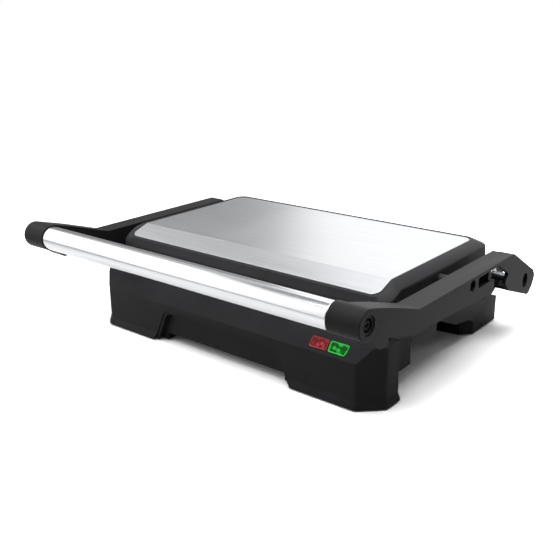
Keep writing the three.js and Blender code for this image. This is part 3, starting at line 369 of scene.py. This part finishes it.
# A merged copy of a CAD node with its sharp edges rounded as a mould leaves them.
def softenedCopy(node, radius):
    bm = mergedCopy(node)
    smoothByAngle(bm, moulding["sharpest"])
    crease = math.radians(creaseAngles.get(node, 180))
    for edge in bm.edges:  # flat bands meet in a crisp line, only corners are blended
        if edge.smooth and edge.calc_length() > moulding["longEdge"] * mm and edge.calc_face_angle() > crease:
            edge.smooth = False
    if node.startswith("arm_"):
        roundCollar(bm)
    piece = addPiece(bm, node, body_of(nodes[node])[0])
    roundEdges(piece, radius, moulding["segments"], moulding["sharpest"])


for node, radius in edgeRadii.items():
    softenedCopy(node, radius)
for node, source in nodes.items():
    source.data.materials.clear()
    source.data.materials.append(finishes[finishOf(node)])
print("mouldings finished:", len(edgeRadii))

lens = {"upward": 0.3, "rim": 0.45, "slope": 0.4, "sunk": 0.35, "edge": 0.2, "segments": 3, "sharpest": 30}


# The lens's face sinks behind a raised rim, which carries an attribute for its painted glow.
def makeLens(node):
    bm = mergedCopy(node)
    rim = bm.faces.layers.float.new("rim")
    upper = [face for face in bm.faces if face.normal.z > lens["upward"]]
    top = max(upper, key=lambda face: face.calc_area())
    outward = top.normal.copy()
    for width in (lens["rim"], lens["slope"]):
        ring = bmesh.ops.inset_region(bm, faces=[top], thickness=width * mm, use_even_offset=True)["faces"]
        for face in ring:
            face[rim] = 1.0
    bmesh.ops.translate(bm, verts=list(top.verts), vec=-outward * lens["sunk"] * mm)
    smoothByAngle(bm, lens["sharpest"])
    roundEdges(addPiece(bm, node, "base"), lens["edge"], lens["segments"], lens["sharpest"])


makeLens("power_lens")
makeLens("ready_lens")
print("lenses made")

tube = {"wall": 1.5, "endRadius": 0.5, "turn": 0.3, "guardRing": 0.4, "segments": 96, "sharpest": 40}


# The profile of one end is mirrored for the other, then the whole wall is turned round the axis.
def makeHandleTube():
    low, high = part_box("handle_tube")
    centre = (low + high) / 2
    radius = (high.z - low.z) / 2
    bore = radius - tube["wall"] * mm
    end = tube["endRadius"] * mm
    turn = end * tube["turn"]
    guard = tube["guardRing"] * mm  # keeps the rounded end's shading off the long wall
    half = [(0, bore), (0, radius - end), (turn, radius - turn), (end, radius), (end + guard, radius)]
    profile = [(low.x + x, r) for x, r in half] + [(high.x - x, r) for x, r in reversed(half)]
    bm = bmesh.new()
    ring = [bm.verts.new((x, centre.y, centre.z + r)) for x, r in profile]
    edges = [bm.edges.new(pair) for pair in zip(ring, ring[1:] + ring[:1])]
    bmesh.ops.spin(bm, geom=ring + edges, cent=centre, axis=(1, 0, 0), angle=2 * math.pi,
                   steps=tube["segments"], use_merge=True)
    bmesh.ops.remove_doubles(bm, verts=bm.verts, dist=weld["distance"] * mm)
    bmesh.ops.recalc_face_normals(bm, faces=bm.faces)
    smoothByAngle(bm, tube["sharpest"])
    addPiece(bm, "handle_tube", "arms")


makeHandleTube()
print("handle tube made")

# The floor has one shade for the light it throws back, one as metal mirrors it and one as it is seen.
# It keeps its shadow near the press and fades to plain white past it.
room = {
    "size": 6.0, "shade": "#8e8e8e", "mirroredShade": 0.82, "seenShade": 1.42, "glow": 0.02,
    "fadeFrom": 0.3, "fadeTo": 0.75, "mirroredFar": 0.62,
}


# Matt white paper sweep: it catches a soft shadow and gives the metal something pale to mirror.
def makeFloor():
    bm = bmesh.new()
    bmesh.ops.create_grid(bm, x_segments=1, y_segments=1, size=room["size"])
    floor = addObject("floor", meshFrom(bm, "floor"))
    material = bpy.data.materials.new("matt_white_floor")
    tree = emptyTree(material)
    path = addNode(tree, "ShaderNodeLightPath")
    camera, glossy = path.outputs["Is Camera Ray"], path.outputs["Is Glossy Ray"]
    seen = addNode(tree, "ShaderNodeMath", links={0: camera, 1: glossy}, operation="MAXIMUM").outputs[0]
    mirrored = (room["mirroredShade"],) * 3 + (1.0,)
    lit = addNode(tree, "ShaderNodeMix", {6: linearColour(room["shade"]), 7: mirrored},
                  {0: glossy}, data_type="RGBA")
    shade = addNode(tree, "ShaderNodeMix", {7: (room["seenShade"],) * 3 + (1.0,)},
                    {0: camera, 6: lit.outputs[2]}, data_type="RGBA")
    paint = addNode(tree, "ShaderNodeBsdfDiffuse", links={"Color": shade.outputs[2]})
    power = addNode(tree, "ShaderNodeMath", {1: room["glow"]}, {0: seen}, operation="MULTIPLY")
    glow = addNode(tree, "ShaderNodeEmission", {"Color": white}, {"Strength": power.outputs[0]})
    near = addNode(tree, "ShaderNodeAddShader", links={0: paint.outputs[0], 1: glow.outputs[0]})
    farLevel = addNode(tree, "ShaderNodeMapRange", {"To Min": 1.0, "To Max": room["mirroredFar"]},
                       {"Value": glossy})
    far = addNode(tree, "ShaderNodeEmission", {"Color": white}, {"Strength": farLevel.outputs["Result"]})
    place = addNode(tree, "ShaderNodeTexCoord").outputs["Object"]
    reach = addNode(tree, "ShaderNodeVectorMath", links={0: place}, operation="LENGTH").outputs["Value"]
    fade = addNode(tree, "ShaderNodeMapRange", {"From Min": room["fadeFrom"], "From Max": room["fadeTo"]},
                   {"Value": reach}, interpolation_type="SMOOTHSTEP")
    shown = addNode(tree, "ShaderNodeMath", links={0: fade.outputs["Result"], 1: seen}, operation="MULTIPLY")
    blend = addNode(tree, "ShaderNodeMixShader",
                    links={0: shown.outputs[0], 1: near.outputs[0], 2: far.outputs[0]})
    addNode(tree, "ShaderNodeOutputMaterial", links={"Surface": blend.outputs[0]})
    floor.data.materials.append(material)


makeFloor()

lamps = {
    "topSoftbox": {"place": (0.1, -0.05, 1.6), "aim": (0, 0, 0), "size": (1.9, 1.3), "power": 37.0},
    "backSoftbox": {"place": (-0.36, 2.25, 0.85), "aim": (0, 0, 0.1), "size": (2.5, 1.4), "power": 14.5},
    "highSoftbox": {"place": (-0.42, 1.55, 1.9), "aim": (0, 0, 0.1), "size": (2.2, 1.0), "power": 11.0},
    "rightSoftbox": {"place": (1.3, 0.5, 1.5), "aim": (0, 0, 0.1), "size": (1.0, 0.8), "power": 2.8},
    "leftSoftbox": {"place": (-1.5, -0.67, 0.86), "aim": (0, -0.13, 0.1), "size": (2.1, 1.9), "power": 17.5},
    "leftBackSoftbox": {"place": (-1.56, 0.7, 1.5), "aim": (0, 0, 0.1), "size": (1.15, 0.95), "power": 1.3},
    "frontLeftCard": {
        "place": (-0.88, -1.36, 0.52), "aim": (0.1, -0.14, 0.1), "size": (0.6, 1.05), "power": 2.3},
    "frontSoftbox": {"place": (0.2, -1.3, 1.5), "aim": (0, -0.1, 0.06), "size": (1.4, 0.5), "power": 4.0},
}
for name, values in lamps.items():
    data = bpy.data.lights.new(name, "AREA")
    data.shape = "RECTANGLE"
    data.size, data.size_y = values["size"]
    data.energy = values["power"]
    lamp = addObject(name, data)
    lamp.location = values["place"]
    towards = Vector(values["aim"]) - Vector(values["place"])
    lamp.rotation_euler = towards.to_track_quat("-Z", "Y").to_euler()

# A white backdrop to the camera, dimmer where it is mirrored and nearly dark where it lights.
sky = {"ambient": 0.03, "mirrored": 0.3, "seen": 1.0}


def makeSky():
    world = bpy.data.worlds.new("studio")
    tree = emptyTree(world)
    path = addNode(tree, "ShaderNodeLightPath")
    ambient, mirrored, seen = (
        addNode(tree, "ShaderNodeBackground", {"Color": white, "Strength": sky[use]}).outputs[0]
        for use in ("ambient", "mirrored", "seen"))
    indirect = addNode(tree, "ShaderNodeMixShader",
                       links={0: path.outputs["Is Glossy Ray"], 1: ambient, 2: mirrored})
    shown = addNode(tree, "ShaderNodeMixShader",
                    links={0: path.outputs["Is Camera Ray"], 1: indirect.outputs[0], 2: seen})
    addNode(tree, "ShaderNodeOutputWorld", links={"Surface": shown.outputs[0]})
    bpy.context.scene.world = world


makeSky()

view = {
    "place": (0.42314, -0.52753, 0.28519), "azimuth": 39.04, "elevation": 19.2, "roll": -0.532,
    "lens": 49.73, "sensor": 36.0,
}
cameraData = bpy.data.cameras.new("camera")
cameraData.lens = view["lens"]
cameraData.sensor_width = view["sensor"]
camera = addObject("camera", cameraData)
camera.matrix_world = (
    Matrix.Translation(view["place"])
    @ Matrix.Rotation(math.radians(view["azimuth"]), 4, "Z")
    @ Matrix.Rotation(math.radians(90 - view["elevation"]), 4, "X")
    @ Matrix.Rotation(math.radians(view["roll"]), 4, "Z")
)
bpy.context.scene.camera = camera
bpy.context.scene.view_settings.view_transform = "Standard"
print("room lit")
